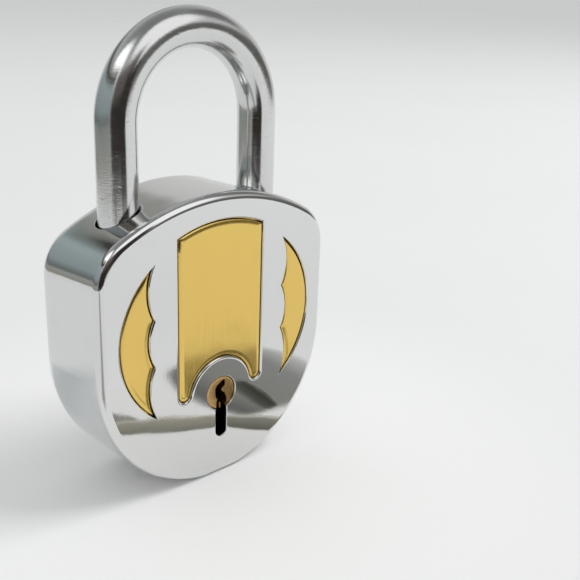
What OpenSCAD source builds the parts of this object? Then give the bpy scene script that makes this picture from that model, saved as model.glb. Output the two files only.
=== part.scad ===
// Press-to-lock lever padlock: drawn steel case with three brass fields, round shackle,
// eight levers on one post and a pivoting catch that works like a pinion tooth in the shackle's notch.
// Front is -Y, up is +Z; the origin is the middle of the small flat under the case.

/* [Case] */
// Width of the case
body_w = 65; // [60:0.5:70]
// Height of the case from its foot to the crown
body_h = 69.3; // [66:0.1:74]
// Thickness of the case, front to back
body_t = 23; // [22:0.5:26]
// Radius of the arched crown
crown_r = 54; // [50:1:60]
// Radius of the two shoulders
shoulder_r = 11.2; // [8:0.1:12]
// Width of the flat that the case stands on
foot_w = 10; // [6:1:14]
// Thickness of the case walls and of the back plate
wall = 2; // [1.5:0.1:2]

/* [Shackle] */
// Diameter of the shackle rod
rod_d = 9; // [8:0.1:9]
// Distance between the shackle's legs, centre to centre
leg_spacing = 38.9; // [38:0.1:40]
// Height of the shackle's top, outside
shackle_top = 108.1; // [106:0.1:112]
// How far the shackle lifts when it opens
lift = 18; // [16:0.5:18]

/* [Brass fields] */
// Width of the middle window
field_w = 24.5; // [22:0.1:25]
// Height of the middle window's upper corners
field_corner_z = 60.8; // [58:0.1:61]
// Height of the middle window's arched top
field_top_z = 63.3; // [62:0.1:64]
// Radius of the bite that the middle window leaves round the keyhole
bite_r = 9.1; // [8.5:0.1:9.5]
// Gap between each brass field and its window
field_gap = 0.2; // [0.1:0.05:0.3]
// How far the brass lies below the front face
field_recess = 0.1; // [0.1:0.1:0.5]

/* [Lock] */
// Diameter of the key plug
plug_d = 8.1; // [7.6:0.1:8.4]
// Height of the key plug's centre
plug_z = 21.3; // [21:0.1:22]
// Thickness of one lever
lever_t = 1.2; // [1:0.05:1.2]
// Pitch radius of the catch where it meshes with the shackle
catch_r = 8.6; // [8.6:0.1:8.8]

/* [Hidden] */
$fn = 64;

chrome = [0.80, 0.81, 0.83];
steel = [0.62, 0.62, 0.63];
brass = [0.86, 0.68, 0.28];
spring_steel = [0.36, 0.36, 0.38];
bronze = [0.72, 0.48, 0.24];

SIDES = [-1, 1];
eps = 0.01;
clear = 0.1;                                    // running clearance
half_w = body_w / 2;
front_y = -body_t / 2;
back_y = body_t / 2;
liner_t = 0.5;                                  // sheet thickness of the brass liner
liner_back_y = front_y + wall + liner_t;
inner_front_y = liner_back_y + 0.05;            // where the works may start
inner_back_y = back_y - wall;                   // inner face of the back plate

// outline of the case
belly_z = sqrt(half_w * half_w - foot_w * foot_w / 4);       // centre of the round bottom
crown_z = body_h - crown_r;
shoulder_x = half_w - shoulder_r;
shoulder_z = crown_z + sqrt(pow(crown_r - shoulder_r, 2) - shoulder_x * shoulder_x);

// shackle
rod_r = rod_d / 2;
leg_x = leg_spacing / 2;
bend_z = shackle_top - rod_r - leg_x;           // where the legs turn into the round bow
heel_end_z = 25;
heel_floor_z = 17.5;                            // bottom of the heel's bore, where the spring stands
toe_end_z = 50;
neck_r = 3;
neck_low_z = 28;
heel_pin_r = 1.25;
heel_pin_z = neck_low_z + lift + 0.2 + heel_pin_r;
neck_high_z = heel_pin_z + heel_pin_r + 0.8;
heel_pin_x = -leg_x + neck_r + heel_pin_r + clear;

// catch: pivot, tooth and stump
catch_x = 7.7;
catch_z = 56;
catch_t = 3;
catch_turn = lift / catch_r * 180 / PI;
tooth_tip_r = catch_r + 1.4;
tooth_half = 1.6;
pivot_r = 2;
stump_r = 1.2;
stump_arm = 8.2;
stump_angle = -112;
stump_front_y = -8.5;
stump_back_y = 5.75;

// levers: five in front of the catch and three behind it
front_levers = 5;
last_lever = 7;                                 // counted from 0
lever_pitch = lever_t + 0.15;
pack_gap = 0.25;                                // between the catch and the levers beside it
post_x = -9;
post_z = 40;
post_r = 1.5;
eye_r = 3.3;
belly_r = 8.2;                                  // the levers' bellies, round the key plug
lever_right_x = 8;
lever_top_z = 50.3;
stop_x = 10.2;
stop_r = 1.5;
stop_z = 36 - stop_r - clear;
LIFT_DEG = [10, 13, 8, 12, 9, 14, 11, 13];      // how far each lever turns, by its key step
tail_r = 1.2;                                   // riveted tails in the back plate

// rivets: two shoulders, crown, foot and two below
RIVETS = [[-26.6, 55], [26.6, 55], [-6, 64.6], [0, 5.6], [-18.5, 12.3], [18.5, 12.3]];
rivet_r = 1.6;
rivet_seat = 1.2;                               // depth of the rivets' blind holes in the front
spring_eye_r = rivet_r + clear / 2;

// a flat shape drawn in X and Z, between two depths
module slab(y0, y1) {
    translate([0, y1, 0]) rotate([90, 0, 0]) linear_extrude(height = y1 - y0) children();
}

// a round bar along Y
module bar(x, z, r, y0, y1) {
    slab(y0, y1) translate([x, z]) circle(r = r);
}

// ---- outlines ----

module case_outline(inset = 0) {
    tuck = 0.002;                               // keeps the arcs from grazing the straight sides
    difference() {
        union() {
            translate([0, belly_z]) circle(r = half_w - inset - tuck, $fn = 128);
            translate([inset - half_w, belly_z]) square([body_w - 2 * inset, shoulder_z - belly_z]);
            for (side = SIDES)
                translate([side * shoulder_x, shoulder_z]) circle(r = shoulder_r - inset - tuck);
            // the crown's sector, from shoulder to shoulder
            intersection() {
                translate([0, crown_z]) circle(r = crown_r - inset, $fn = 180);
                polygon([[0, crown_z],
                         (crown_r + 9) / (crown_r - shoulder_r) * [shoulder_x, shoulder_z - crown_z]
                             + [0, crown_z],
                         (crown_r + 9) / (crown_r - shoulder_r) * [-shoulder_x, shoulder_z - crown_z]
                             + [0, crown_z]]);
            }
        }
        translate([-half_w, -10]) square([body_w, 10 + inset]);
    }
}

// middle field: straight sides, arched top, two rounded feet beside the bite
module middle_field(inset = 0) {
    w = field_w / 2 - inset;
    rise = field_top_z - field_corner_z;
    top_r = (pow(field_w / 2, 2) + rise * rise) / (2 * rise);
    foot_r = (field_w / 2 - bite_r) / 2 + 0.02;
    foot_z = plug_z + 2.3;
    difference() {
        union() {
            intersection() {
                translate([-w, foot_z]) square([2 * w, field_top_z - foot_z]);
                translate([0, field_top_z - top_r]) circle(r = top_r - inset, $fn = 128);
            }
            for (side = SIDES)
                translate([side * (field_w / 2 - foot_r), foot_z]) circle(r = foot_r - inset);
        }
        translate([0, plug_z]) circle(r = bite_r + inset);
    }
}

// side field: a crescent whose inner edge has three scallops between cusps
module side_field(side, inset = 0) {
    outer_r = 22.2;
    outer_x = 5.3;
    outer_z = 38.4;
    scallop_x = 20.1;                           // where the scallops bulge to
    keep = [20, 70];                            // the part of the disc beyond the scallops
    keep_x = 28.3;
    difference() {
        intersection() {
            translate([side * outer_x, outer_z]) circle(r = outer_r - inset, $fn = 96);
            translate([side * keep_x - keep[0] / 2, 0]) square(keep);
        }
        for (s = [[50.1, 13.6], [38.6, 11.3], [27.1, 14.2]])
            translate([side * (scallop_x - s[1]), s[0]]) circle(r = s[1] + inset, $fn = 96);
    }
}

module fields(inset = 0) {
    middle_field(inset);
    for (side = SIDES) side_field(side, inset);
}

// slot under the plug where the key's bit goes in
module bit_slot() {
    left = -1.7;
    width = 3.3;
    foot_z = 11.65;
    translate([left, foot_z - 0.05]) square([width, plug_z - foot_z + 0.05]);
    translate([left + width / 2, foot_z]) circle(r = width / 2);
}

module keyway() {
    polygon([[1, 3.2], [-1.1, 2.1], [-1.7, 1.2], [-1.6, -0.8], [-1.1, -1.5], [-1.4, -4], [-1.4, -8],
             [1.4, -8], [1.4, -4], [1.8, -2.7], [1.2, -0.4], [0.1, 0.7], [1.2, 1.6]]);
}

// ---- case ----

module case() {
    color(chrome) difference() {
        slab(front_y, back_y) case_outline();
        slab(front_y + wall, back_y + 1) case_outline(wall);
        slab(front_y - 1, front_y + wall + 1) fields();
        slab(front_y - 1, front_y + wall + 1) {
            translate([0, plug_z]) circle(r = plug_d / 2 + clear);
            bit_slot();
        }
        for (p = RIVETS) bar(p[0], p[1], rivet_r, front_y + wall - rivet_seat, front_y + wall + 1);
        for (side = SIDES) translate([side * leg_x, 0, shoulder_z]) cylinder(r = rod_r + 0.3, h = 30);
    }
}

module back_plate() {
    color(chrome) difference() {
        slab(inner_back_y, back_y) case_outline(wall + 0.05);
        for (p = RIVETS) bar(p[0], p[1], tail_r, inner_back_y - 1, back_y + 1);
        for (p = [[post_x, post_z], [catch_x, catch_z], [stop_x, stop_z]])
            bar(p[0], p[1], tail_r, inner_back_y - 1, back_y + 1);
    }
}

module case_rivets() {
    color(steel) for (p = RIVETS) {
        bar(p[0], p[1], rivet_r, front_y + wall - rivet_seat, inner_back_y);
        bar(p[0], p[1], tail_r, inner_back_y - eps, back_y);
    }
}

// one pressed sheet behind the front, with the three fields raised into their windows
module brass_liner() {
    raised_y = front_y + field_recess;
    color(brass) difference() {
        union() {
            slab(front_y + wall, liner_back_y) intersection() {
                case_outline(wall + 1);
                translate([-half_w, 15]) square([body_w, 50]);
            }
            slab(raised_y, front_y + wall + eps) fields(field_gap);
        }
        slab(raised_y + liner_t, liner_back_y + 1) fields(field_gap + liner_t);
        slab(front_y, liner_back_y + 1) {
            translate([0, plug_z]) circle(r = plug_d / 2 + 2 * clear);
            translate([0, -5]) bit_slot();
            bit_slot();
            for (p = RIVETS) translate(p) circle(r = rivet_r + clear);
        }
    }
}

// ---- shackle and what guides it ----

module shackle() {
    tip = 0.8;                                  // chamfer at the ends of the legs
    color(chrome) difference() {
        union() {
            translate([0, 0, bend_z]) rotate([90, 0, 0])
                rotate_extrude(angle = 180) translate([leg_x, 0]) circle(r = rod_r);
            // toe leg
            translate([leg_x, 0, toe_end_z + tip]) cylinder(r = rod_r, h = bend_z - toe_end_z - tip);
            translate([leg_x, 0, toe_end_z]) cylinder(r1 = rod_r - tip, r2 = rod_r, h = tip);
            // heel leg, with the neck that the heel pin runs in
            translate([-leg_x, 0, neck_high_z]) cylinder(r = rod_r, h = bend_z - neck_high_z);
            translate([-leg_x, 0, neck_low_z]) cylinder(r = neck_r, h = neck_high_z - neck_low_z);
            translate([-leg_x, 0, heel_end_z + tip]) cylinder(r = rod_r, h = neck_low_z - heel_end_z - tip);
            translate([-leg_x, 0, heel_end_z]) cylinder(r1 = rod_r - tip, r2 = rod_r, h = tip);
        }
        // notch for the catch's tooth
        slab(-rod_r - 1, rod_r + 1)
            polygon([[leg_x - rod_r - 1, catch_z - 2.55], [leg_x - rod_r, catch_z - 2.4],
                     [leg_x - 1.45, catch_z - 1.9], [leg_x - 1.45, catch_z + 2.2],
                     [leg_x - rod_r - 1, catch_z + 2.2]]);
    }
}

// coil spring that throws the shackle up, pressed flat under the heel
module shackle_spring() {
    coil_r = 3.3;
    wire_r = 0.45;
    turns = 6;
    steps = 18;                                 // rings in each turn
    sides = 8;
    low = heel_floor_z + wire_r + 0.05;
    high = heel_end_z - wire_r - 0.05;
    rings = turns * steps;
    function ring(i) = let (a = i * 360 / steps, z = low + (high - low) * i / rings)
        [for (k = [0:sides - 1]) let (b = k * 360 / sides, r = coil_r + wire_r * cos(b))
            [-leg_x + r * cos(a), r * sin(a), z + wire_r * sin(b)]];
    color(spring_steel) polyhedron(
        points = [for (i = [0:rings]) each ring(i)],
        faces = [[for (k = [0:sides - 1]) k],
                 [for (k = [sides - 1:-1:0]) rings * sides + k],
                 for (i = [0:rings - 1], k = [0:sides - 1]) let (n = (k + 1) % sides)
                     [i * sides + k, (i + 1) * sides + k, (i + 1) * sides + n, i * sides + n]]);
}

// solid block that carries the heel leg, its spring and its pin
module heel_block() {
    color(steel) difference() {
        slab(inner_front_y, inner_back_y) intersection() {
            translate([-25, heel_floor_z - 2]) square([12, 34.5]);
            case_outline(wall + clear);
        }
        translate([-leg_x, 0, heel_floor_z]) cylinder(r = rod_r + clear, h = 60);
        bar(heel_pin_x, heel_pin_z, heel_pin_r, inner_front_y - 1, inner_back_y + 1);
    }
}

module heel_pin() {
    color(steel) bar(heel_pin_x, heel_pin_z, heel_pin_r, inner_front_y, inner_back_y);
}

// half-open guide round the toe leg; a rivet passes through it
module toe_guide() {
    color(steel) difference() {
        slab(inner_front_y, inner_back_y) intersection() {
            translate([17.6, 44]) square([11, 17]);
            case_outline(wall + clear);
        }
        translate([leg_x, 0, 40]) cylinder(r = rod_r + 1.5 * clear, h = 40);
        bar(RIVETS[1][0], RIVETS[1][1], rivet_r, inner_front_y - 1, inner_back_y + 1);
    }
}

// ---- plug ----

module key_plug() {
    r = plug_d / 2;
    shoulder_y = 7.05;
    color(brass) difference() {
        union() {
            bar(0, plug_z, r, front_y + 0.15, shoulder_y);
            bar(0, plug_z, r + 1.5, liner_back_y + clear, liner_back_y + 1.6);
            bar(0, plug_z, 3, shoulder_y - eps, inner_back_y - 0.2);
        }
        slab(front_y - 1, shoulder_y - 0.5) translate([0, plug_z]) keyway();
    }
}

// bearing for the plug's rear journal
module plug_bush() {
    color(bronze) difference() {
        bar(0, plug_z, 5.5, 7.15, inner_back_y);
        bar(0, plug_z, 3.05, 7, inner_back_y + 1);
    }
}

// ---- catch ----

module catch() {
    arm = [stump_arm * cos(stump_angle), stump_arm * sin(stump_angle)];
    color(steel) difference() {
        slab(-catch_t / 2, catch_t / 2) translate([catch_x, catch_z]) difference() {
            union() {
                circle(r = 5);
                // tooth
                polygon([[0, -2.4], [4.4, -2.1], [tooth_tip_r - 0.6, -tooth_half],
                         [tooth_tip_r, -tooth_half + 0.5], [tooth_tip_r, tooth_half - 0.5],
                         [tooth_tip_r - 0.6, tooth_half], [4.4, 2.1], [0, 2.4]]);
                // arm that holds the stump
                rotate(stump_angle) translate([0, -2.2]) square([stump_arm, 4.4]);
                translate(arm) circle(r = 2.2);
            }
            circle(r = pivot_r + 0.05);
            translate(arm) circle(r = stump_r);
        }
    }
}

function stump_at(t) = [catch_x + stump_arm * cos(stump_angle + catch_turn * t),
                        catch_z + stump_arm * sin(stump_angle + catch_turn * t)];

module catch_stump() {
    p = stump_at(0);
    color(steel) bar(p[0], p[1], stump_r, stump_front_y, stump_back_y);
}

// shouldered pin with its tail riveted through the back plate
module back_pin(x, z, r, y0 = inner_front_y) {
    bar(x, z, r, y0, inner_back_y);
    bar(x, z, tail_r, inner_back_y - eps, back_y);
}

module sleeve(x, z, r, bore, y0, y1) {
    difference() {
        bar(x, z, r, y0, y1);
        bar(x, z, bore, y0 - 1, y1 + 1);
    }
}

module catch_pivot() {
    color(steel) back_pin(catch_x, catch_z, pivot_r);
}

module catch_front_spacer() {
    color(bronze) sleeve(catch_x, catch_z, 3, pivot_r + 0.05, inner_front_y, -catch_t / 2 - clear);
}

module catch_rear_spacer() {
    color(bronze) sleeve(catch_x, catch_z, 3, pivot_r + 0.05, catch_t / 2 + clear, inner_back_y);
}

// ---- levers ----

// front face of lever i, counted from the catch: 0 to 4 in front of it, 5 to 7 behind
function lever_y(i) = i < front_levers ? -catch_t / 2 - pack_gap - lever_t - i * lever_pitch
                                       : catch_t / 2 + pack_gap + (i - front_levers) * lever_pitch;

// where the stump is at t, seen from lever i as both turn
function stump_in_lever(i, t) = let (a = -LIFT_DEG[i] * t, p = stump_at(t) - [post_x, post_z])
    [post_x + p[0] * cos(a) - p[1] * sin(a), post_z + p[0] * sin(a) + p[1] * cos(a)];

module lever(i) {
    start = stump_in_lever(i, 0);
    out = stump_in_lever(i, 0.22);
    gate = 2 * (stump_r + 0.35);
    color(brass) slab(lever_y(i), lever_y(i) + lever_t) difference() {
        union() {
            translate([post_x, post_z]) circle(r = eye_r);
            polygon([[-6, 28.5], [5, 28.5], [lever_right_x, 36], [11.5, 36], [11.5, 39],
                     [lever_right_x, 41], [lever_right_x, lever_top_z], [1.5, lever_top_z],
                     [post_x - 1, post_z + 2.6], [post_x - 2.6, post_z]]);
        }
        translate([post_x, post_z]) circle(r = post_r + 0.05);
        translate([0, plug_z]) circle(r = belly_r);
        translate(start) circle(r = gate / 2);
        translate(start) rotate(atan2(out[1] - start[1], out[0] - start[0]))
            translate([0, -gate / 2]) square([9, gate]);
    }
}

module lever_post() {
    color(steel) back_pin(post_x, post_z, post_r);
}

module lever_centre_spacer() {
    color(bronze) sleeve(post_x, post_z, 3, post_r + 0.05, -catch_t / 2 - 0.1, catch_t / 2 + 0.1);
}

module lever_rear_spacer() {
    last_y = lever_y(last_lever) + lever_t;
    color(bronze) sleeve(post_x, post_z, 3, post_r + 0.05, last_y + 0.15, inner_back_y);
}

module lever_stop() {
    color(steel) back_pin(stop_x, stop_z, stop_r);
}

// comb spring: an eye rolled round the crown rivet and one tine down to each lever
module lever_spring() {
    strip = 0.4;
    eye = RIVETS[2];
    touch = [-4.2, 46.85];                      // where the tines press on the levers
    from = [eye[0] - spring_eye_r - strip / 2, eye[1]];
    reach = touch - from;
    color(bronze) {
        difference() {
            bar(eye[0], eye[1], spring_eye_r + strip, lever_y(front_levers - 1), lever_y(last_lever) + lever_t);
            bar(eye[0], eye[1], spring_eye_r, front_y, back_y);
        }
        for (i = [0:last_lever])
            slab(lever_y(i) + 0.15, lever_y(i) + lever_t - 0.15) translate(from)
                rotate(atan2(reach[1], reach[0])) translate([0, -strip / 2]) square([norm(reach), strip]);
    }
}

case();
back_plate();
case_rivets();
brass_liner();
shackle();
shackle_spring();
heel_block();
heel_pin();
toe_guide();
key_plug();
plug_bush();
catch();
catch_stump();
catch_pivot();
catch_front_spacer();
catch_rear_spacer();
lever_post();
lever_centre_spacer();
lever_rear_spacer();
lever_stop();
lever_spring();
lever(0);  // lever_1
lever(1);  // lever_2
lever(2);  // lever_3
lever(3);  // lever_4
lever(4);  // lever_5
lever(5);  // lever_6
lever(6);  // lever_7
lever(7);  // lever_8
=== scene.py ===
"""Press-to-lock lever padlock with chromed case and three brass fields, on a pale studio floor.

The visible shells are modelled here in millimetres, in the same frame as the CAD parts: front is -Y and
up is +Z. The works inside the case keep their CAD shapes and get their finishes here.
"""
import math

import bmesh
import bpy
from mathutils import Matrix, Vector
from mathutils.geometry import tessellate_polygon


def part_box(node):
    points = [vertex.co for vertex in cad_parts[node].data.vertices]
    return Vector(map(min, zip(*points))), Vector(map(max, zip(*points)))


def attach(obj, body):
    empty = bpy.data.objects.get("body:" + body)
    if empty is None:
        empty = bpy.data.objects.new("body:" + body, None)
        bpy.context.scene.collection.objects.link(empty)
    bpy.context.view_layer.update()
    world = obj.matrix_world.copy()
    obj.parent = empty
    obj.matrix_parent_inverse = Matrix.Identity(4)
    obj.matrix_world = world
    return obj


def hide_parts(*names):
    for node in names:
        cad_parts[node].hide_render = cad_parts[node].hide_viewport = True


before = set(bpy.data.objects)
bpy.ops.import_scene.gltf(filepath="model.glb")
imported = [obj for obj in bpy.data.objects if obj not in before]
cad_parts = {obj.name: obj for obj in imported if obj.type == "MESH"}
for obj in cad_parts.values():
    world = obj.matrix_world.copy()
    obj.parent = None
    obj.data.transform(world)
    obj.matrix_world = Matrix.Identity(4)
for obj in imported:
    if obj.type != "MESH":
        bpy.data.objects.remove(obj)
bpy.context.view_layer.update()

MM = 0.001


def box_mm(node):
    """Lowest and highest corner of a CAD node, in millimetres."""
    low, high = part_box(node)
    return low / MM, high / MM


# ---- driving dimensions, in millimetres ----

case_low, case_high = box_mm("case")
shackle_low, shackle_high = box_mm("shackle")
plate_low, _ = box_mm("back_plate")
plug_low, plug_high = box_mm("key_plug")

HALF_W = case_high.x
CROWN_TOP = case_high.z
FRONT_Y = case_low.y
BACK_Y = case_high.y
WALL = 2.0
INNER_Y = FRONT_Y + WALL
FOOT_HALF = 5.0
CROWN_R = 54.0
SHOULDER_R = 11.2
FRONT_ROUND = 1.9                       # rounded front edge
BACK_ROUND = 1.7
BACK_ROUND_DEPTH = 2.8                  # the back edge is rounded further along the sides than it is in
WINDOW_ROUND = 0.6                      # rolled edge of each window
KEYHOLE_ROUND = 0.2
SUPPORT = 0.1                           # narrow flat strip beside a rounding, keeps the flat true

BELLY_Z = math.sqrt(HALF_W ** 2 - FOOT_HALF ** 2)
CROWN_Z = CROWN_TOP - CROWN_R
SHOULDER_X = HALF_W - SHOULDER_R
SHOULDER_Z = CROWN_Z + math.sqrt((CROWN_R - SHOULDER_R) ** 2 - SHOULDER_X ** 2)
SHOULDER_TURN = math.atan2(SHOULDER_Z - CROWN_Z, SHOULDER_X)

ROD_R = shackle_high.y
LEG_X = shackle_high.x - ROD_R
BEND_Z = shackle_high.z - ROD_R - LEG_X
LEG_HOLE_R = ROD_R + 0.45

PLUG_Z = 21.3
PLUG_R = 4.05
FIELD_HALF = 12.25
FIELD_CORNER_Z = 60.8
FIELD_TOP_Z = 63.3
BITE_R = 9.1
FOOT_Z = PLUG_Z + 2.3                   # centre height of the middle field's round feet
FIELD_GAP = 0.2                         # between a window's edge and the brass in it
FIELD_Y = FRONT_Y + 0.1                 # face of the brass
CRESCENT = (5.3, 38.4, 22.2)            # x, z and radius of the crescents' outer edge
SCALLOPS = ((50.1, 13.6), (38.6, 11.3), (27.1, 14.2))   # z and radius, from the top
SCALLOP_X = 20.1                        # where the scallops bulge to
TIP_LIMIT = 1.25                        # a crescent's tip moves no further than this many set-outs

BLOCK = 6.0                             # half side of the square of wall round each leg hole
BLOCK_STEPS = 12
LIP_DIP = 0.0001                        # the first row of a leg hole's lip is a hair below the wall

FALL = 1.3                              # how far the shoulders have dropped at the back edge
FALL_X = (4, 22)                        # the drop grows between these distances from the middle,
FALL_Z = (36, 58)                       # and between these heights

SLOT_LEFT, SLOT_RIGHT = -1.7, 1.6       # sides of the slot for the key's bit
SLOT_LOW_Z = 11.65                      # centre height of the slot's round end


# ---- mesh tools ----

class Shell:
    """Vertices and faces of one piece, in millimetres."""

    def __init__(self):
        self.verts = []
        self.faces = []

    def ring(self, points):
        start = len(self.verts)
        self.verts.extend(points)
        return list(range(start, len(self.verts)))

    def strip(self, a, b):
        """Faces between two closed rings with the same number of points."""
        for i in range(len(a)):
            j = (i + 1) % len(a)
            self.faces.append((a[i], a[j], b[j], b[i]))

    def fill(self, *loops):
        """Flat face inside the first loop, with the other loops as holes."""
        index = [i for loop in loops for i in loop]
        points = [[Vector(self.verts[i]) for i in loop] for loop in loops]
        for triangle in tessellate_polygon(points):
            self.faces.append(tuple(index[k] for k in triangle))

    def rows(self, outline, profile, place=lambda *point: point):
        """A ring of outline(inset) at each (inset, y) of the profile, joined by strips."""
        rings = [self.ring([place(x, y, z) for x, z in outline(inset)]) for inset, y in profile]
        for a, b in zip(rings, rings[1:]):
            self.strip(a, b)
        return rings

    def build(self, name, body, nodes, finish, crease=35):
        """The piece as an object; edges sharper than crease, in degrees, stay sharp."""
        mesh = bpy.data.meshes.new(name)
        mesh.from_pydata([Vector(v) * MM for v in self.verts], [], self.faces)
        bm = bmesh.new()
        bm.from_mesh(mesh)
        bmesh.ops.remove_doubles(bm, verts=bm.verts, dist=1e-8)
        bmesh.ops.recalc_face_normals(bm, faces=bm.faces)
        bm.to_mesh(mesh)
        bm.free()
        mesh.shade_smooth()
        mesh.set_sharp_from_angle(angle=math.radians(crease))
        mesh.materials.append(finish)
        piece = bpy.data.objects.new(name, mesh)
        bpy.context.scene.collection.objects.link(piece)
        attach(piece, body)
        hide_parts(*nodes)
        return piece


def arc(cx, cz, r, start, end, steps):
    """Points on a circle from start to end, in radians, without the last one."""
    angles = [start + k * (end - start) / steps for k in range(steps)]
    return [(cx + r * math.cos(a), cz + r * math.sin(a)) for a in angles]


def line(a, b, steps):
    """Points from a to b, without the last one."""
    return [(a[0] + (b[0] - a[0]) * k / steps, a[1] + (b[1] - a[1]) * k / steps) for k in range(steps)]


def round_over(radius, y_face, into, steps, depth=None):
    """(inset, y) rows from a flat face round to the wall beside it. into is +1 on a face that looks to
    -Y, and depth is how far the rounding runs along the wall, where that isn't its radius."""
    rows = [(radius + SUPPORT, y_face)]
    reach = into * (depth or radius)
    for k in range(steps + 1):
        a = math.pi / 2 * k / steps
        rows.append((radius * (1 - math.sin(a)), y_face + reach * (1 - math.cos(a))))
    return rows


def smooth(value, low, high):
    """A soft step from 0 at low to 1 at high."""
    share = min(max((value - low) / (high - low), 0), 1)
    return share * share * (3 - 2 * share)


def fallen(x, y, z):
    """A point of the case, let down where the shoulders drop from the front edge to the back edge."""
    share = (y - FRONT_Y) / (BACK_Y - FRONT_Y)
    return x, y, z - FALL * share * smooth(abs(x), *FALL_X) * smooth(z, *FALL_Z)


# ---- outlines, as (x, z) loops that can be set in or out ----

def crown_height(x, inset):
    """Height of the crown at x, set in."""
    return CROWN_Z + math.sqrt((CROWN_R - inset) ** 2 - x * x)


FOOT_STEPS, BELLY_STEPS, SIDE_STEPS, SHOULDER_STEPS, EDGE_STEPS, MID_STEPS = 2, 40, 8, 22, 3, 14
BLOCK_START = FOOT_STEPS + BELLY_STEPS + SIDE_STEPS + SHOULDER_STEPS + EDGE_STEPS


def case_outline(inset):
    """From the middle of the foot up the right side, over the crown and down the left side."""
    r = HALF_W - inset
    corner = math.sqrt(r * r - (BELLY_Z - inset) ** 2)
    crown_edge = (CROWN_R - inset) * math.cos(SHOULDER_TURN)
    half = line((0, inset), (corner, inset), FOOT_STEPS)
    half += arc(0, BELLY_Z, r, math.atan2(inset - BELLY_Z, corner), 0, BELLY_STEPS)
    half += line((r, BELLY_Z), (r, SHOULDER_Z), SIDE_STEPS)
    half += arc(SHOULDER_X, SHOULDER_Z, SHOULDER_R - inset, 0, SHOULDER_TURN, SHOULDER_STEPS)
    stops = [(crown_edge, EDGE_STEPS), (LEG_X + BLOCK, BLOCK_STEPS), (LEG_X - BLOCK, MID_STEPS), (0, 0)]
    for (a, steps), (b, _) in zip(stops, stops[1:]):
        half += [(x, crown_height(x, inset)) for x, _ in line((a, 0), (b, 0), steps)]
    top = (0, crown_height(0, inset))
    return half + [top] + [(-x, z) for x, z in reversed(half[1:])]


def middle_outline(inset):
    """Middle field: straight sides, arched top, and two round feet beside the bite."""
    rise = FIELD_TOP_Z - FIELD_CORNER_Z
    top_r = (FIELD_HALF ** 2 + rise ** 2) / (2 * rise)
    top_z = FIELD_TOP_Z - top_r
    drop = FOOT_Z - PLUG_Z
    foot_r = (FIELD_HALF ** 2 + drop ** 2 - BITE_R ** 2) / (2 * (FIELD_HALF + BITE_R))
    foot_x = FIELD_HALF - foot_r
    meet = math.atan2(drop, foot_x)                     # where a foot turns into the bite
    side = FIELD_HALF - inset
    corner = math.sqrt((top_r - inset) ** 2 - side ** 2)
    lean = math.atan2(corner, side)
    corner += top_z
    loop = arc(foot_x, FOOT_Z, foot_r - inset, meet - math.pi, 0, 12)
    loop += line((side, FOOT_Z), (side, corner), 12)
    loop += arc(0, top_z, top_r - inset, lean, math.pi - lean, 24)
    loop += line((-side, corner), (-side, FOOT_Z), 12)
    loop += arc(-foot_x, FOOT_Z, foot_r - inset, -math.pi, -meet, 12)
    loop += arc(0, PLUG_Z, BITE_R + inset, math.pi - meet, meet, 36)
    return loop


def right_meeting(a, b):
    """The right-hand point where two circles (x, z, r) cross."""
    dx, dz = b[0] - a[0], b[1] - a[1]
    d = math.hypot(dx, dz)
    along = (a[2] ** 2 - b[2] ** 2 + d * d) / (2 * d)
    off = math.sqrt(a[2] ** 2 - along ** 2)
    across = [off, -off]
    return max((a[0] + (along * dx + s * dz) / d, a[1] + (along * dz - s * dx) / d) for s in across)


def crescent_outline(side):
    """Side field: a crescent whose inner edge is three scallops."""
    def outline(inset):
        outer = (CRESCENT[0], CRESCENT[1], CRESCENT[2] - inset)
        cuts = [(SCALLOP_X - r, z, r + inset) for z, r in SCALLOPS]
        ends = [right_meeting(outer, cuts[0]), right_meeting(cuts[0], cuts[1]),
                right_meeting(cuts[1], cuts[2]), right_meeting(cuts[2], outer)]

        def between(circle, start, end, steps):
            angles = [math.atan2(p[1] - circle[1], p[0] - circle[0]) for p in (start, end)]
            return arc(*circle, *angles, steps)

        loop = between(outer, ends[3], ends[0], 56)
        for cut, start, end in zip(cuts, ends, ends[1:]):
            loop += between(cut, start, end, 18)
        return [(side * x, z) for x, z in loop]
    return outline


def keyhole_outline(inset):
    """Round hole for the plug, with the slot for the key's bit below it."""
    r = PLUG_R + 0.15 - inset
    left, right = SLOT_LEFT + inset, SLOT_RIGHT - inset
    slot_r = (right - left) / 2
    slot_x = (left + right) / 2
    right_z, left_z = [PLUG_Z - math.sqrt(r * r - x * x) for x in (right, left)]
    start = math.atan2(right_z - PLUG_Z, right)
    end = math.atan2(left_z - PLUG_Z, left) + 2 * math.pi
    loop = arc(0, PLUG_Z, r, start, end, 48)
    loop += line((left, left_z), (left, SLOT_LOW_Z), 6)
    loop += arc(slot_x, SLOT_LOW_Z, slot_r, math.pi, 2 * math.pi, 16)
    loop += line((right, SLOT_LOW_Z), (right, right_z), 6)
    return loop


def circle_outline(x, z, r):
    return lambda inset: arc(x, z, r - inset, 0, 2 * math.pi, 32)


def blunt(outline):
    """The outline with its sharp tips kept from shooting out when it is set out."""
    def bounded(inset):
        moved = outline(inset)
        if inset >= 0:
            return moved
        limit = TIP_LIMIT * -inset
        points = []
        for (x, z), (bx, bz) in zip(moved, outline(0)):
            share = min(limit / max(math.hypot(x - bx, z - bz), 0.001), 1)
            points.append((bx + (x - bx) * share, bz + (z - bz) * share))
        return points
    return bounded


FIELDS = [middle_outline, blunt(crescent_outline(-1)), blunt(crescent_outline(1))]


# ---- finishes ----

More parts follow.
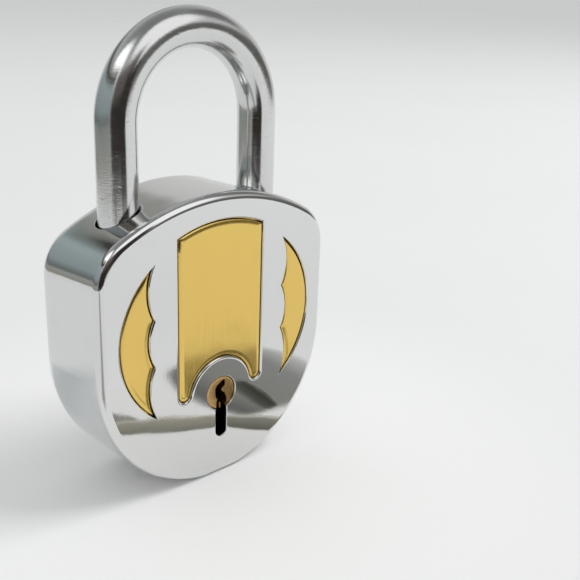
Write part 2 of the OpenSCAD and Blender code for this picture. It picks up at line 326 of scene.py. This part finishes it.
def node_adder(tree):
    """A function that adds a node to the tree, with its settings and its linked or constant inputs."""
    def add(kind, inputs=None, **settings):
        node = tree.nodes.new(kind)
        for key, value in settings.items():
            setattr(node, key, value)
        for key, value in (inputs or {}).items():
            if isinstance(value, bpy.types.NodeSocket):
                tree.links.new(value, node.inputs[key])
            else:
                node.inputs[key].default_value = value
        return node
    return add


def material(name):
    """A new material with its node tree, its shader, and a function that adds nodes to the tree."""
    mat = bpy.data.materials.new(name)
    mat.use_nodes = True
    tree = mat.node_tree
    return mat, tree, tree.nodes["Principled BSDF"], node_adder(tree)


def ramp(add, fac, stops):
    """Colours along fac, from stops of (place, grey or (r, g, b))."""
    node = add("ShaderNodeValToRGB", {"Fac": fac})
    elements = node.color_ramp.elements
    while len(elements) < len(stops):
        elements.new(0.5)
    for element, (place, colour) in zip(elements, stops):
        element.position = place
        element.color = (*colour, 1) if isinstance(colour, tuple) else (colour,) * 3 + (1,)
    return node.outputs["Color"]


def plated(name, colour, dull, rough, stretch, wave=0.0, scratch=0.25, wear=0.0, dents=0.0):
    """Metal with a soft waviness, a fine grain, drawn-out scratches, and a little uneven polish.

    colour is the clean metal and dull its tarnished shade; rough is (polished, worn) roughness;
    stretch is the scratches' frequency per metre along X, Y and Z; wave is the height of the waviness,
    wear how much duller the scratches are, and dents the depth of small knocks, in metres.
    """
    mat, tree, shader, add = material(name)
    place = add("ShaderNodeTexCoord").outputs["Object"]

    def noise(scale, detail, vector=place):
        return add("ShaderNodeTexNoise", {"Vector": vector, "Scale": scale, "Detail": detail,
                                          "Roughness": 0.55}).outputs["Fac"]

    def bump(height, distance, strength=1.0, below=None):
        inputs = {"Height": height, "Distance": distance, "Strength": strength}
        if below:
            inputs["Normal"] = below
        return add("ShaderNodeBump", inputs).outputs["Normal"]

    cloud = noise(90.0, 4.0)
    lanes = add("ShaderNodeMapping", {"Vector": place, "Scale": stretch}).outputs["Vector"]
    hair = noise(1.0, 3.0, lanes)
    knocks = ramp(add, noise(650.0, 2.0), [(0.0, 0.0), (0.66, 0.0), (0.76, 1.0), (1.0, 1.0)])
    hairlines = ramp(add, hair, [(0.0, 0.0), (0.56, 0.0), (0.72, 1.0), (1.0, 1.0)])
    tint = ramp(add, cloud, [(0.0, dull), (0.42, colour), (0.62, colour), (1.0, dull)])
    tree.links.new(tint, shader.inputs["Base Color"])
    worn = add("ShaderNodeMath", {0: hairlines, 1: 0.35 + wear, 2: cloud}, operation="MULTIPLY_ADD")
    gloss = add("ShaderNodeMapRange", {"Value": worn.outputs["Value"], "From Min": 0.35, "From Max": 0.95,
                                       "To Min": rough[0], "To Max": rough[1]})
    tree.links.new(gloss.outputs["Result"], shader.inputs["Roughness"])
    shader.inputs["Metallic"].default_value = 1.0
    surface = bump(noise(110.0, 1.0), wave)
    surface = bump(noise(1300.0, 1.0), 0.000003, below=surface)
    surface = bump(hair, 0.00001, scratch, surface)
    if dents:
        surface = bump(knocks, -dents, below=surface)
    tree.links.new(surface, shader.inputs["Normal"])
    return mat


CHROME = (0.745, 0.75, 0.745)
CHROME_DULL = (0.69, 0.695, 0.68)
ROD = (0.68, 0.685, 0.68)
ROD_DULL = (0.58, 0.58, 0.56)
BRASS = (0.83, 0.585, 0.165)
BRASS_DULL = (0.68, 0.455, 0.11)

case_chrome = plated("case_chrome", CHROME, CHROME_DULL, (0.05, 0.11), (2200, 70, 70), wave=0.00004,
                     scratch=0.2)
back_chrome = plated("back_chrome", CHROME, CHROME_DULL, (0.08, 0.18), (2600, 60, 60), wave=0.00004)
rod_chrome = plated("rod_chrome", ROD, ROD_DULL, (0.11, 0.24), (520, 520, 3900), wave=0.00005,
                    scratch=0.8, wear=0.3, dents=0.00001)
field_brass = plated("field_brass", BRASS, BRASS_DULL, (0.15, 0.26), (1800, 80, 90), wave=0.00013)
plug_brass = plated("plug_brass", (0.66, 0.42, 0.17), (0.44, 0.27, 0.09), (0.2, 0.36), (900, 300, 300),
                    dents=0.00001)
lever_brass = plated("lever_brass", (0.80, 0.60, 0.24), (0.62, 0.44, 0.17), (0.26, 0.42),
                     (150, 150, 2400))
inner_steel = plated("inner_steel", (0.50, 0.50, 0.51), (0.36, 0.35, 0.34), (0.3, 0.5),
                     (2600, 200, 2600))
spring_steel = plated("spring_steel", (0.26, 0.27, 0.30), (0.18, 0.18, 0.19), (0.25, 0.4),
                      (900, 900, 900))
bronze = plated("bronze", (0.62, 0.38, 0.19), (0.44, 0.26, 0.13), (0.3, 0.46), (200, 2400, 200))


# ---- case ----

def leg_patch(shell, side, grid, inset, lip):
    """Fills the square of wall round a leg hole and returns the ring at the hole's edge. The lip's rows
    are (how much wider than the hole, how far below the wall)."""
    last = grid[0] + [row[-1] for row in grid[1:-1]]
    last += grid[-1][::-1] + [row[0] for row in grid[-2:0:-1]]
    spots = [(shell.verts[i][0] - side * LEG_X, shell.verts[i][1]) for i in last]
    angles = [math.atan2(y, x) for x, y in spots]
    wider = [math.hypot(x, y) - LEG_HOLE_R for x, y in spots]
    rows = [([share * w for w in wider], 0) for share in (0.66, 0.33, 0.12)]
    rows += [([w] * len(spots), drop) for w, drop in lip]
    for widths, drop in rows:
        points = []
        for a, w in zip(angles, widths):
            x = side * LEG_X + (LEG_HOLE_R + w) * math.cos(a)
            y = (LEG_HOLE_R + w) * math.sin(a)
            points.append(fallen(x, y, crown_height(x, inset) - drop))
        ring = shell.ring(points)
        shell.strip(last, ring)
        last = ring
    return last


def walls(shell, before, inset, after, lip):
    """Rows of the case outline, with the two leg holes in the straight part between before and after."""
    ys = [-BLOCK + 2 * BLOCK * k / BLOCK_STEPS for k in range(BLOCK_STEPS + 1)]
    if before[-1][1] > after[0][1]:
        ys.reverse()
    profile = before + [(inset, y) for y in ys] + after
    rings = [shell.ring([fallen(x, y, z) for x, z in case_outline(i)]) for i, y in profile]
    count = len(rings[0])
    first = len(before)
    squares = [BLOCK_START, count - BLOCK_START - BLOCK_STEPS]
    for k, (a, b) in enumerate(zip(rings, rings[1:])):
        in_block = first <= k < first + BLOCK_STEPS
        for i in range(count):
            if in_block and any(s <= i < s + BLOCK_STEPS for s in squares):
                continue
            j = (i + 1) % count
            shell.faces.append((a[i], a[j], b[j], b[i]))
    holes = []
    for side, start in zip((1, -1), squares):
        grid = [ring[start:start + BLOCK_STEPS + 1] for ring in rings[first:first + BLOCK_STEPS + 1]]
        holes.append(leg_patch(shell, side, grid, inset, lip))
    return rings, holes


def join_rings(shell, a, b):
    """Joins two rings with the same number of points, each to the nearest in plan."""
    def plan_gap(i, j):
        return math.dist(shell.verts[i][:2], shell.verts[j][:2])
    match = [min(b, key=lambda j: plan_gap(i, j)) for i in a]
    shell.strip(a, match)


def case_shell():
    """Front, side wall and rim in one drawn shell, with windows, a keyhole and two leg holes."""
    shell = Shell()
    # one more row of wall follows the front's rounding, and one comes before the back's
    front = round_over(FRONT_ROUND, FRONT_Y, 1, 9) + [(0, -9.3)]
    back = [(0, 8)] + round_over(BACK_ROUND, BACK_Y, -1, 6, BACK_ROUND_DEPTH)[::-1]
    rim = [(WALL, BACK_Y), (WALL, plate_low.y)]
    outer, outer_holes = walls(shell, front, 0, back, [(0.18, LIP_DIP), (0.06, 0.05), (0, 0.2)])
    inner, inner_holes = walls(shell, rim, WALL, [(WALL, INNER_Y)], [(0, LIP_DIP)])
    shell.strip(outer[-1], inner[0])
    for a, b in zip(outer_holes, inner_holes):
        join_rings(shell, a, b)             # the inner grid runs the other way
    front_loops = [outer[0]]
    inner_loops = [inner[-1]]
    windows = [(outline, WINDOW_ROUND) for outline in FIELDS] + [(keyhole_outline, KEYHOLE_ROUND)]
    for outline, radius in windows:
        profile = [(-inset, y) for inset, y in round_over(radius, FRONT_Y, 1, 5)]
        rings = shell.rows(outline, profile + [(0, INNER_Y)])
        front_loops.append(rings[0])
        inner_loops.append(rings[-1])
    shell.fill(*front_loops)
    shell.fill(*inner_loops)
    return shell.build("case_shell", "root", ["case"], case_chrome)


def back_cover():
    """Plate set into the case's rim, with chamfered holes for six rivets and the ends of three pins."""
    shell = Shell()
    gap, hole_r, chamfer = 0.05, 1.2, 0.12
    rivets = [(-26.6, 55), (26.6, 55), (-6, 64.6), (0, 5.6), (-18.5, 12.3), (18.5, 12.3)]
    pins = [(-9, 40), (7.7, 56), (10.2, 34.4)]          # lever_post, catch_pivot and lever_stop
    edge = round_over(0.3, BACK_Y, -1, 4) + [(0, plate_low.y)]
    through = [(-chamfer, BACK_Y), (0, BACK_Y - chamfer), (0, plate_low.y)]
    rings = shell.rows(lambda inset: case_outline(WALL + gap + inset), edge, fallen)
    face, inside = [rings[0]], [rings[-1]]
    for x, z in rivets + pins:
        hole = shell.rows(circle_outline(x, z, hole_r), through)
        face.append(hole[0])
        inside.append(hole[-1])
    shell.fill(*face)
    shell.fill(*inside)
    return shell.build("back_cover", "root", ["back_plate"], back_chrome)


# ---- brass fields ----

def field_sheet():
    """Pressed sheet with three raised pads whose edges slope down into the windows."""
    shell = Shell()
    sheet_z, hole_r, clear = 15, PLUG_R + 0.2, 0.3      # clear keeps points off the slot's corners
    outer = [(x, max(z, sheet_z)) for x, z in case_outline(WALL + 1)]
    outer = [(x, z) for x, z in outer if z > sheet_z or x > SLOT_RIGHT + clear or x < SLOT_LEFT - clear]
    split = next(k for k, (x, z) in enumerate(outer) if x < 0 and z == sheet_z)
    left_z, right_z = [PLUG_Z - math.sqrt(hole_r ** 2 - x * x) for x in (SLOT_LEFT, SLOT_RIGHT)]
    start = math.atan2(left_z - PLUG_Z, SLOT_LEFT)
    end = math.atan2(right_z - PLUG_Z, SLOT_RIGHT)
    notch = line((SLOT_LEFT, sheet_z), (SLOT_LEFT, left_z), 2)
    notch += arc(0, PLUG_Z, hole_r, start, end - 2 * math.pi, 40)
    notch += [(SLOT_RIGHT, right_z), (SLOT_RIGHT, sheet_z)]
    loop = outer[:split] + sorted(outer[split:]) + notch
    back_y = INNER_Y + 0.5
    front, back = shell.rows(lambda inset: loop, [(0, INNER_Y), (0, back_y)])
    fronts, backs = [front], [back]
    edge = [(0, 0.9), (0.04, 0.5), (0.09, 0.36), (0.17, 0.27), (0.3, 0.2), (0.5, 0.13), (0.72, 0.075),
            (0.95, 0.032), (1.12, 0.008), (1.25, 0), (1.33, 0)]     # (set in, below the face)
    slope = [(FIELD_GAP, INNER_Y)] + [(FIELD_GAP + inset, FIELD_Y + down) for inset, down in edge]
    pocket = [(FIELD_GAP + 0.5, back_y), (FIELD_GAP + 0.5, FIELD_Y + 1.1),
              (FIELD_GAP + 1.25, FIELD_Y + 0.5)]
    for outline in FIELDS:
        rings = shell.rows(outline, slope)
        fronts.append(rings[0])
        shell.fill(rings[-1])
        rings = shell.rows(outline, pocket)
        backs.append(rings[0])
        shell.fill(rings[-1])
    shell.fill(*fronts)
    shell.fill(*backs)
    return shell.build("field_sheet", "root", ["brass_liner"], field_brass, crease=50)


# ---- key plug ----

def plug_body():
    """Turned plug with a rounded face, a flange and a journal, and a keyway that is open at the face."""
    shell = Shell()
    slot_half, keyway_end = 1.4, plug_high.y - 2.75
    shoulder, journal_r, flange_r = 7.05, 3.0, plug_high.x
    flange = (INNER_Y + 0.6, INNER_Y + 2.1)
    keyway = [(-1.4, -3.8), (-1.36, -2.6), (-1.12, -1.5), (-1.35, -1.15), (-1.6, -0.8), (-1.72, 0.2),
              (-1.7, 1.2), (-1.45, 1.75), (-1.1, 2.1), (-0.1, 2.75), (1.0, 3.2), (1.2, 2.5), (1.2, 1.6),
              (0.6, 1.2), (0.1, 0.7), (0.6, 0.05), (1.2, -0.4), (1.6, -1.4), (1.8, -2.7), (1.55, -3.3),
              (1.4, -3.8)]                  # from the plug's centre

    def section(r, y):
        a = math.asin(slot_half / r)
        body = arc(0, PLUG_Z, r, a - math.pi / 2, 1.5 * math.pi - a, 56)
        body.append((-slot_half, PLUG_Z - r * math.cos(a)))
        return [(x, y, z) for x, z in body], [(x, y, z + PLUG_Z) for x, z in keyway]

    face_y = plug_low.y + 0.15
    profile = [(PLUG_R - 0.35, face_y), (PLUG_R - 0.22, face_y + 0.02), (PLUG_R - 0.07, face_y + 0.1),
               (PLUG_R, face_y + 0.25), (PLUG_R, flange[0]), (flange_r, flange[0]), (flange_r, flange[1]),
               (PLUG_R, flange[1]), (PLUG_R, keyway_end)]
    rings = []
    for r, y in profile:
        round_part, key_part = section(r, y)
        rings.append((shell.ring(round_part), shell.ring(key_part)))
    for a, b in zip(rings, rings[1:]):
        shell.strip(a[0] + a[1], b[0] + b[1])
    shell.fill(rings[0][0] + rings[0][1])
    # floor of the keyway, closed by the arc that the slot left open
    a = math.asin(slot_half / PLUG_R)
    gap = arc(0, PLUG_Z, PLUG_R, -math.pi / 2 - a, -math.pi / 2 + a, 6)[1:]
    gap_ring = shell.ring([(x, keyway_end, z) for x, z in gap])
    body_ring, key_ring = rings[-1]
    shell.fill(key_ring + [body_ring[0]] + gap_ring[::-1] + [body_ring[-1]])
    last = body_ring + gap_ring
    angles = [math.atan2(shell.verts[i][2] - PLUG_Z, shell.verts[i][0]) for i in last]
    for r, y in [(PLUG_R, shoulder), (journal_r, shoulder), (journal_r, plug_high.y)]:
        ring = shell.ring([(r * math.cos(t), y, PLUG_Z + r * math.sin(t)) for t in angles])
        shell.strip(last, ring)
        last = ring
    shell.fill(last)
    return shell.build("plug_body", "key_plug", ["key_plug"], plug_brass)


# ---- shackle ----

def shackle_rod():
    """Bent rod: heel leg with its neck, half-round bow, toe leg with the notch for the catch."""
    shell = Shell()
    sides = 56
    heel_end, toe_end = shackle_low.z, 50.0
    neck_low, neck_high, neck_r = 28.0, 49.5, 3.0
    notch_low, notch_high, notch_x = (53.6, 54.1), (58.15, 58.2), LEG_X - 1.45
    tip = [(0.0, 0.8), (0.08, 0.42), (0.3, 0.14), (0.8, 0.0)]   # (height, set in) of the rounded end
    straight = [62.0, 74.0]                 # rings between the works and the bow

    def section(turn, r, along=None, least_x=None):
        out = Vector((math.cos(turn), 0, math.sin(turn)))
        centre = Vector((LEG_X * out.x, 0, BEND_Z + LEG_X * out.z))
        if along is not None:
            centre.z = along
        points = []
        for k in range(sides):
            a = 2 * math.pi * k / sides
            p = centre + r * (math.cos(a) * out + math.sin(a) * Vector((0, 1, 0)))
            if least_x is not None:
                p.x = max(p.x, least_x)
            points.append(tuple(p))
        return shell.ring(points)

    heel = [(ROD_R - inset, heel_end + up) for up, inset in tip]
    heel += [(ROD_R, neck_low - 0.3), (ROD_R - 0.3, neck_low), (neck_r, neck_low), (neck_r, neck_high),
             (ROD_R - 0.3, neck_high), (ROD_R, neck_high + 0.3)]
    rings = [section(math.pi, r, z) for r, z in heel]
    rings += [section(math.pi, ROD_R, z) for z in straight]
    steps = 72
    rings += [section(math.pi * (1 - k / steps), ROD_R) for k in range(steps + 1)]
    rings += [section(0, ROD_R, z) for z in reversed(straight)]
    rings += [section(0, ROD_R, notch_high[1]), section(0, ROD_R, notch_high[0], notch_x),
              section(0, ROD_R, notch_low[1], notch_x), section(0, ROD_R, notch_low[0])]
    rings += [section(0, ROD_R - inset, toe_end + up) for up, inset in reversed(tip)]
    for a, b in zip(rings, rings[1:]):
        shell.strip(a, b)
    shell.fill(rings[0])
    shell.fill(rings[-1])
    return shell.build("shackle_rod", "shackle", ["shackle"], rod_chrome)


case_shell()
back_cover()
field_sheet()
plug_body()
shackle_rod()

# ---- finishes of the works, which keep their CAD shapes ----

REPLACED = ("case", "back_plate", "brass_liner", "key_plug", "shackle")


def finish_for(node):
    """Finish of a CAD node that keeps its shape."""
    if node.removeprefix("lever_").isdigit():
        return lever_brass
    if node == "shackle_spring":
        return spring_steel
    if node == "lever_spring" or node.endswith("spacer") or node == "plug_bush":
        return bronze
    if node == "case_rivets":
        return back_chrome
    return inner_steel


for node_name, node_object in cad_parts.items():
    if node_name not in REPLACED:
        node_object.data.materials.clear()
        node_object.data.materials.append(finish_for(node_name))


# ---- stage ----

def stage_mesh(name, mesh, mat):
    mesh.materials.append(mat)
    piece = bpy.data.objects.new(name, mesh)
    bpy.context.scene.collection.objects.link(piece)
    return piece


def floor():
    """Wide round sheet of pale matt paper."""
    mat, tree, shader, add = material("floor_paper")
    place = add("ShaderNodeTexCoord").outputs["Object"]
    grain = add("ShaderNodeTexNoise", {"Vector": place, "Scale": 6.0, "Detail": 3.0}).outputs["Fac"]
    paper = ramp(add, grain, [(0.0, 0.79), (1.0, 0.82)])
    # painted light: the paper is painted a shade paler round the object, lifting the shade the object
    # casts round itself
    reach = add("ShaderNodeVectorMath", {0: place}, operation="LENGTH").outputs["Value"]
    painted_light_near = add("ShaderNodeMapRange", {"Value": reach, "From Min": 0.03, "From Max": 0.13,
                                      "To Min": 1.0, "To Max": 0.0}, interpolation_type="SMOOTHSTEP")
    tint = add("ShaderNodeMix", {"Factor": painted_light_near.outputs["Result"], "A": paper,
                                 "B": (0.90, 0.90, 0.895, 1)}, data_type="RGBA")
    tree.links.new(tint.outputs["Result"], shader.inputs["Base Color"])
    shader.inputs["Roughness"].default_value = 0.85
    shader.inputs["Specular IOR Level"].default_value = 0.2
    mesh = bpy.data.meshes.new("floor")
    steps, radius = 96, 12.0
    rim = [(radius * math.cos(2 * math.pi * k / steps), radius * math.sin(2 * math.pi * k / steps), 0)
           for k in range(steps)]
    mesh.from_pydata(rim, [], [tuple(range(steps))])
    return stage_mesh("floor", mesh, mat)


DRIFT = 0.08                            # how far the tones of a glow wander along its stops


def glow(name, verts, faces, cover, place, stops, size):
    """Stage mesh that only reflections see. Its glow follows the place (0 to 1) of its vertices along
    the stops, drifting a little over the size in metres, and it fades out where their cover goes to 0."""
    mat = bpy.data.materials.new(name)
    mat.use_nodes = True
    mat.node_tree.nodes.clear()
    add = node_adder(mat.node_tree)
    spot = add("ShaderNodeTexCoord").outputs["Object"]
    noise = add("ShaderNodeTexNoise", {"Vector": spot, "Scale": 0.7 / size, "Detail": 3.0}).outputs["Fac"]
    along = add("ShaderNodeAttribute", attribute_name="place").outputs["Fac"]
    drifted = add("ShaderNodeMath", {0: noise, 1: 2 * DRIFT, 2: along}, operation="MULTIPLY_ADD")
    centred = add("ShaderNodeMath", {0: drifted.outputs["Value"], 1: DRIFT}, operation="SUBTRACT")
    shine = add("ShaderNodeEmission", {"Color": ramp(add, centred.outputs["Value"], stops)})
    covered = add("ShaderNodeAttribute", attribute_name="cover").outputs["Fac"]
    soft = add("ShaderNodeMapRange", {"Value": covered}, interpolation_type="SMOOTHSTEP")
    clear = add("ShaderNodeBsdfTransparent")
    mixed = add("ShaderNodeMixShader", {0: soft.outputs["Result"], 1: clear.outputs["BSDF"],
                                        2: shine.outputs["Emission"]})
    add("ShaderNodeOutputMaterial", {"Surface": mixed.outputs["Shader"]})
    mesh = bpy.data.meshes.new(name)
    mesh.from_pydata(verts, [], faces)
    for key, values in (("cover", cover), ("place", place)):
        mesh.attributes.new(key, "FLOAT", "POINT").data.foreach_set("value", values)
    piece = stage_mesh(name, mesh, mat)
    piece.visible_camera = False
    piece.visible_diffuse = False
    piece.visible_shadow = False
    piece.visible_transmission = False
    return piece


def card(name, azimuths, fades, heights, radius, stops, top, foot=0.0):
    """Upright curved card round the object, between two azimuths in degrees and two heights. Its stops
    run upwards. It fades out over fades (degrees) at its ends, over top, and over foot if it has one."""
    start, end = azimuths
    low, high = heights
    steps = 48
    rows = [low, low + max(foot, 0.001), high - top, high]
    verts, cover, place = [], [], []
    for k in range(steps + 1):
        angle = start + (end - start) * k / steps
        side = min((angle - start) / fades[0], (end - angle) / fades[1], 1)
        a = math.radians(angle)
        verts += [(radius * math.cos(a), radius * math.sin(a), z) for z in rows]
        cover += [0 if foot else side, side, side, 0]
        place += [(z - low) / (high - low) for z in rows]
    n = len(rows)
    faces = [(n * k + j, n * (k + 1) + j, n * (k + 1) + j + 1, n * k + j + 1)
             for k in range(steps) for j in range(n - 1)]
    return glow(name, verts, faces, cover, place, stops, radius)


def floor_tone(name, centre, half, turn, lift, stops, soft):
    """Tones lying on the floor: a rounded bar with its stops running across it. soft is the share of its
    half width that fades out at its rim. Centre, half sizes and lift are in metres, turn in degrees."""
    columns, rows = 24, 16
    turn = math.radians(turn)
    verts, cover, place = [], [], []
    for j in range(rows + 1):
        v = 2 * j / rows - 1
        for i in range(columns + 1):
            u = 2 * i / columns - 1
            # its sides bulge, and so do its ends
            x = u * half[0] * math.sqrt(1 - 0.35 * v * v)
            y = v * half[1] * math.sqrt(1 - 0.45 * u * u)
            verts.append((centre[0] + x * math.cos(turn) - y * math.sin(turn),
                          centre[1] + x * math.sin(turn) + y * math.cos(turn), lift))
            cover.append(min((1 - abs(u)) / soft * half[0] / half[1], (1 - abs(v)) / soft, 1))
            place.append((v + 1) / 2)
    n = columns + 1
    faces = [(n * j + i, n * j + i + 1, n * (j + 1) + i + 1, n * (j + 1) + i)
             for j in range(rows) for i in range(columns)]
    return glow(name, verts, faces, cover, place, stops, half[1])


def towards(azimuth, elevation):
    """Unit vector; azimuth is counted from +X towards +Y, both in degrees."""
    a, e = math.radians(azimuth), math.radians(elevation)
    return Vector((math.cos(a) * math.cos(e), math.sin(a) * math.cos(e), math.sin(e)))


def softbox(name, azimuth, elevation, distance, aim, size, watts):
    """Soft square lamp that lights the scene but isn't mirrored as a shape of its own."""
    light = bpy.data.lights.new(name, "AREA")
    light.shape = "SQUARE"
    light.size = size
    light.energy = watts
    lamp = bpy.data.objects.new(name, light)
    away = towards(azimuth, elevation)
    lamp.location = Vector(aim) + distance * away
    lamp.rotation_mode = "QUATERNION"
    lamp.rotation_quaternion = away.to_track_quat("Z", "Y")
    lamp.visible_glossy = False
    bpy.context.scene.collection.objects.link(lamp)
    return lamp


SKY_LIGHT = (0.72, 0.73, 0.73)          # what lights the scene
SKY_SEEN = (0.66, 0.665, 0.665)         # what the camera would see past the floor
# what mirrors see, from the horizon up
ROOM = [(0.0, (0.72, 0.72, 0.72)), (0.12, (0.66, 0.66, 0.65)), (0.35, (0.62, 0.62, 0.61)),
        (0.7, (0.47, 0.48, 0.48)), (0.86, (0.30, 0.31, 0.31)), (1.0, (0.22, 0.23, 0.23))]
# round patches in it: azimuth, elevation, inner and outer edge in degrees, and brightness
PATCHES = [(352, 42, 8, 24, 0.2), (182, 42, 15, 30, 1.6), (282, 46, 24, 34, 1.1)]


def sky():
    """Even pale light, and for mirrors a room: paler low down, with two bright patches and a dim one."""
    world = bpy.data.worlds.new("studio")
    bpy.context.scene.world = world
    world.use_nodes = True
    tree = world.node_tree
    add = node_adder(tree)

    def blend(share, a, b):
        return add("ShaderNodeMix", {"Factor": share, "A": a, "B": b}, data_type="RGBA").outputs["Result"]

    way = add("ShaderNodeTexCoord").outputs["Generated"]
    up = add("ShaderNodeSeparateXYZ", {0: way}).outputs["Z"]
    room = ramp(add, up, ROOM)
    for azimuth, elevation, inner, outer, level in PATCHES:
        facing = add("ShaderNodeVectorMath", {0: way, 1: towards(azimuth, elevation)},
                     operation="DOT_PRODUCT")
        inside = add("ShaderNodeMapRange", {"Value": facing.outputs["Value"],
                                            "From Min": math.cos(math.radians(outer)),
                                            "From Max": math.cos(math.radians(inner))},
                     interpolation_type="SMOOTHSTEP")
        room = blend(inside.outputs["Result"], room, (level, level, level, 1))
    path = add("ShaderNodeLightPath")
    seen = add("ShaderNodeMath", {0: path.outputs["Is Camera Ray"],
                                  1: path.outputs["Is Transmission Ray"]}, operation="MAXIMUM")
    pale = blend(seen.outputs["Value"], (*SKY_LIGHT, 1), (*SKY_SEEN, 1))
    colour = blend(path.outputs["Is Glossy Ray"], pale, room)
    tree.links.new(colour, tree.nodes["Background"].inputs["Color"])


floor()
sky()

# generic stand-ins for the surroundings that the chrome mirrors; azimuths are counted from +X towards +Y
# left_low is darker and browner at its foot: painted shade where the card meets the floor
card("left_low", (92, 214), (18, 18), (0.0, 0.23), 0.30,
     [(0.0, (0.25, 0.25, 0.23)), (0.10, (0.32, 0.31, 0.27)), (0.17, (0.31, 0.35, 0.34)),
      (0.225, (0.16, 0.165, 0.155)), (0.28, (0.18, 0.20, 0.20)), (0.42, (0.28, 0.33, 0.34)),
      (1.0, (0.37, 0.43, 0.44))], foot=0.012, top=0.04)
card("left_high", (78, 212), (8, 14), (0.17, 0.37), 0.299,
     [(0.0, (0.37, 0.43, 0.44)), (0.2, (0.34, 0.40, 0.41)), (0.33, (0.17, 0.19, 0.18)),
      (0.385, (0.05, 0.05, 0.045)), (0.46, (0.06, 0.06, 0.05)), (0.53, (0.25, 0.245, 0.22)),
      (0.75, (0.42, 0.42, 0.40)), (1.0, (0.60, 0.61, 0.61))], foot=0.03, top=0.07)
card("left_strip", (52, 93), (10, 7), (0.205, 0.325), 0.298,
     [(0.0, (0.26, 0.26, 0.24)), (0.5, (0.36, 0.355, 0.33)), (1.0, (0.44, 0.44, 0.42))],
     foot=0.025, top=0.05)
card("dark_card", (197, 270), (16, 14), (0.0, 0.22), 0.28,
     [(0.0, (0.06, 0.055, 0.05)), (0.15, (0.025, 0.02, 0.017)), (0.5, (0.035, 0.029, 0.025)),
      (1.0, (0.13, 0.11, 0.10))], top=0.08)
card("dark_strip", (238, 277), (12, 6), (0.035, 0.13), 0.084,
     [(0.0, (0.035, 0.03, 0.027)), (1.0, (0.03, 0.025, 0.022))], foot=0.02, top=0.02)
card("dark_high", (205, 276), (10, 12), (0.15, 0.34), 0.282,
     [(0.0, (0.08, 0.065, 0.06)), (0.5, (0.16, 0.15, 0.14)), (1.0, (0.5, 0.5, 0.5))], foot=0.03, top=0.10)
card("far_card", (270, 366), (14, 22), (0.03, 0.30), 0.45,
     [(0.0, (0.30, 0.30, 0.28)), (0.18, (0.18, 0.18, 0.17)), (0.3, (0.12, 0.12, 0.11)),
      (1.0, (0.2, 0.2, 0.2))], foot=0.03, top=0.1)
floor_tone("grey_patch", (0.040, -0.047), (0.023, 0.024), -90, 0.0005,
           [(0.0, (0.17, 0.17, 0.16)), (0.14, (0.15, 0.15, 0.14)), (0.3, (0.25, 0.25, 0.23)),
            (0.76, (0.28, 0.28, 0.27)), (0.86, (0.42, 0.42, 0.41)), (1.0, (0.62, 0.62, 0.61))], soft=0.18)
floor_tone("dark_streak", (0.0335, -0.037), (0.0105, 0.0042), 100, 0.0007,
           [(0.0, (0.60, 0.58, 0.52)), (0.14, (0.12, 0.12, 0.10)), (0.3, (0.05, 0.05, 0.04)),
            (0.7, (0.09, 0.09, 0.08)), (1.0, (0.22, 0.22, 0.2))], soft=0.3)
floor_tone("grey_end", (-0.0060, -0.0485), (0.0065, 0.0050), 58, 0.0008,
           [(0.0, (0.26, 0.25, 0.22)), (0.5, (0.30, 0.29, 0.25)), (1.0, (0.24, 0.24, 0.22))], soft=0.35)
floor_tone("grey_bar", (0.0035, -0.0378), (0.0165, 0.0047), 31, 0.0009,
           [(0.0, (0.36, 0.35, 0.31)), (0.1, (0.62, 0.60, 0.52)), (0.24, (0.34, 0.325, 0.27)),
            (0.6, (0.28, 0.27, 0.22)), (0.86, (0.21, 0.205, 0.17)), (0.94, (0.18, 0.175, 0.15)),
            (1.0, (0.4, 0.4, 0.38))], soft=0.16)
floor_tone("grey_turn", (0.0225, -0.0230), (0.0105, 0.0047), 48, 0.0011,
           [(0.0, (0.40, 0.39, 0.35)), (0.12, (0.60, 0.58, 0.50)), (0.26, (0.26, 0.25, 0.21)),
            (0.6, (0.20, 0.195, 0.16)), (0.9, (0.13, 0.125, 0.10)), (1.0, (0.35, 0.35, 0.33))], soft=0.16)
# painted shadow of the camera on the floor, seen only in reflections
floor_tone("painted_camera_shadow", (-0.125, -0.104), (0.105, 0.032), 45, 0.0006,
           [(0.0, (0.56, 0.55, 0.54)), (0.5, (0.36, 0.35, 0.34)), (1.0, (0.56, 0.56, 0.55))], soft=0.6)
floor_tone("blue_shade", (-0.046, 0.042), (0.036, 0.020), 142, 0.0006,
           [(0.0, (0.64, 0.66, 0.665)), (0.5, (0.53, 0.555, 0.565)), (1.0, (0.64, 0.66, 0.665))],
           soft=0.9)
softbox("key_light", 325, 52, 1.8, (0, 0, 0.03), 0.8, 13.0)


# ---- camera ----

CAMERA_AT = (-121.6, -157.0, 113.9)     # in millimetres
CAMERA_TURN = (-44.5, 19.35, 2.03)      # azimuth from -Y, elevation and roll, in degrees


def set_camera():
    """Camera with its place, direction, roll and lens fitted to the photo."""
    azimuth, elevation, roll = (math.radians(angle) for angle in CAMERA_TURN)
    back = Vector((math.sin(azimuth) * math.cos(elevation), -math.cos(azimuth) * math.cos(elevation),
                   math.sin(elevation)))
    right = Vector((math.cos(azimuth), math.sin(azimuth), 0))
    up = back.cross(right)
    x_axis = math.cos(roll) * right + math.sin(roll) * up
    y_axis = math.cos(roll) * up - math.sin(roll) * right
    data = bpy.data.cameras.new("camera")
    data.lens = 55.04
    data.sensor_width = 36
    data.clip_start, data.clip_end = 0.01, 50
    camera = bpy.data.objects.new("camera", data)
    turn = Matrix((x_axis, y_axis, back)).transposed().to_4x4()
    camera.matrix_world = Matrix.Translation(Vector(CAMERA_AT) * MM) @ turn
    bpy.context.scene.collection.objects.link(camera)
    bpy.context.scene.camera = camera


set_camera()
bpy.context.scene.view_settings.view_transform = "Standard"
bpy.context.view_layer.update()
